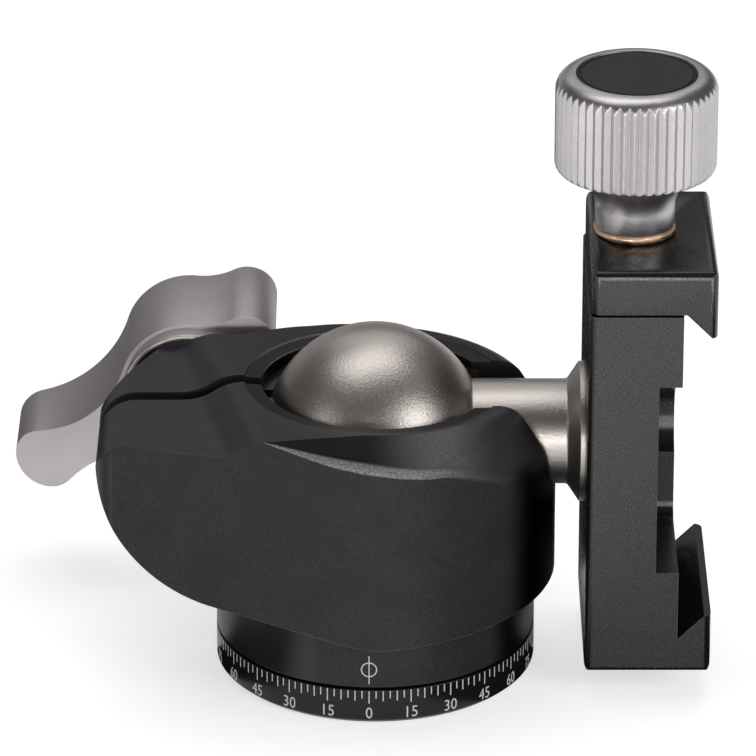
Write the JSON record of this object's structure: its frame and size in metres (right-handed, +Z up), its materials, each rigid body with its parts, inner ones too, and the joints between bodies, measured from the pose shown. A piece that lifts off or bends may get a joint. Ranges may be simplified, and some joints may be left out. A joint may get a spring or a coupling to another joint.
{
  "type": "tripod ball head",
  "caption": "Low-profile ball head with a split housing, wing lock lever, panning base and a screw-knob dovetail clamp on a stem laid in its drop notch.",
  "frame": {"origin": "centre of the tripod thread at the base's underside", "axes": "+Z up along the pan axis, +X from the ball to the clamp at rest, +Y to the wing lever's side"},
  "size_m": [0.0805, 0.0506, 0.072],
  "materials": {
    "black_anodised": "fine bead-blasted black anodising",
    "clamp_black": "coarse bead-blasted black anodising",
    "champagne_anodised": "bead-blasted champagne titanium anodising",
    "steel": "turned stainless steel",
    "spring_steel": "drawn spring steel",
    "bronze": "turned bronze",
    "black_polymer": "moulded black acetal",
    "white_polymer": "moulded white acetal",
    "inlay_black": "satin black inlay"
  },
  "bodies": {
    "base": {"base_ring": "black_anodised", "tripod_bush": "steel", "glide_ring": "white_polymer", "wave_washer": "spring_steel", "retaining_plate": "steel", "retainer_screws": "steel"},
    "housing_body": {"housing": "black_anodised", "socket_liner": "black_polymer", "seat_cup": "white_polymer", "seat_circlip": "spring_steel", "clamping_nut": "steel"},
    "pan_lock_tip": {"pan_lock_shoe": "bronze"},
    "pan_lock": {"pan_lock_screw": "steel", "pan_lock_knob": "champagne_anodised"},
    "lever_thrust": {"lever_washer": "black_polymer", "lever_collar": "champagne_anodised"},
    "lock_lever": {"lever_wing": "champagne_anodised", "lever_stud": "steel", "lever_cap_screw": "steel"},
    "ball_body": {"ball": "champagne_anodised"},
    "clamp": {"stem": "champagne_anodised", "clamp_body": "clamp_black", "fixing_screw": "steel", "anti_twist_pins": "steel", "jaw_springs": "spring_steel"},
    "jaw": {"moving_jaw": "clamp_black", "guide_pins": "steel"},
    "knob": {"knob_washer": "bronze", "clamp_knob": "champagne_anodised", "knob_inlay": "inlay_black", "clamp_screw": "steel", "screw_clip": "spring_steel"}
  },
  "joints": [
    {"name": "pan", "type": "hinge", "parent": "base", "child": "housing_body", "pos_m": [0, 0, 0], "axis": [0, 0, 1], "continuous": true},
    {"name": "pan_lock_feed", "type": "slide", "parent": "housing_body", "child": "pan_lock_tip", "axis": [0, 1, 0], "range_m": [0, 0.0007]},
    {"name": "pan_lock_turn", "type": "hinge", "parent": "pan_lock_tip", "child": "pan_lock", "pos_m": [0, 0, 0.0073], "axis": [0, 1, 0], "range_deg": [0, 360]},
    {"name": "lever_feed", "type": "slide", "parent": "housing_body", "child": "lever_thrust", "axis": [0, 1, 0], "range_m": [0, 0.00025]},
    {"name": "lever_turn", "type": "hinge", "parent": "lever_thrust", "child": "lock_lever", "pos_m": [-0.0218, 0, 0.0265], "axis": [0, 1, 0], "range_deg": [0, 90]},
    {"name": "ball_tilt", "type": "hinge", "parent": "housing_body", "child": "ball_body", "pos_m": [0, 0, 0.0281], "axis": [0, -1, 0], "range_deg": [0, 120]},
    {"name": "clamp_spin", "type": "hinge", "parent": "ball_body", "child": "clamp", "pos_m": [0, 0, 0.0281], "axis": [1, 0, 0], "continuous": true},
    {"name": "jaw_slide", "type": "slide", "parent": "clamp", "child": "jaw", "axis": [0, 0, 1], "range_m": [0, 0.005], "deforming": ["jaw_springs"]},
    {"name": "knob_turn", "type": "hinge", "parent": "jaw", "child": "knob", "pos_m": [0.0291, 0, 0], "axis": [0, 0, 1], "range_deg": [0, 2250]}
  ],
  "couplings": [
    {"joint": "pan_lock_feed", "follows": "pan_lock_turn", "m_per_rad": 0.00011141},
    {"joint": "lever_feed", "follows": "lever_turn", "m_per_rad": 0.00015915},
    {"joint": "jaw_slide", "follows": "knob_turn", "m_per_rad": 0.00012732}
  ]
}
